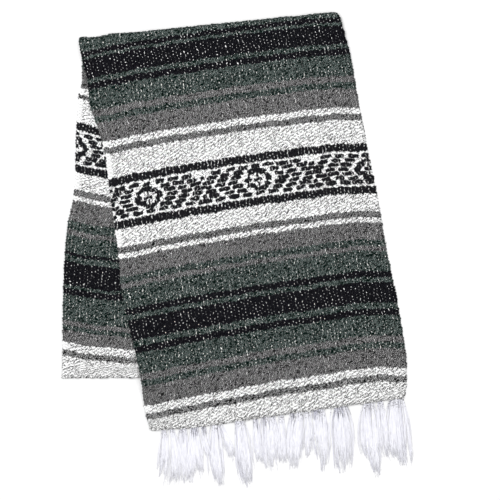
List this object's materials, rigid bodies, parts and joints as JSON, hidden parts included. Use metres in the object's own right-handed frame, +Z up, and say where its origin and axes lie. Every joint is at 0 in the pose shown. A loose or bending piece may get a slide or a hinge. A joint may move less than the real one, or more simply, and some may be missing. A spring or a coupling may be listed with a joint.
{
  "type": "mexican serape",
  "caption": "Striped woven serape blanket with a tasselled fringe, folded lengthwise and crosswise, lying flat.",
  "frame": {"origin": "on the surface the cloth lies on, under the middle of its bounding box", "axes": "+Z up out of the cloth, +Y up the folded cloth to its crosswise fold, +X across it to its selvedges"},
  "size_m": [0.8519, 1.1525, 0.0128],
  "materials": {
    "striped_cloth": "coarse woven cloth in teal, black, grey and white stripes",
    "inner_cloth": "the same coarse woven cloth, in the hidden layers",
    "fringe_yarn": "soft white unspun yarn"
  },
  "bodies": {
    "root": {"front_panel": "striped_cloth", "back_panel": "striped_cloth", "folded_layers": "inner_cloth", "fringe": "fringe_yarn"}
  },
  "joints": []
}
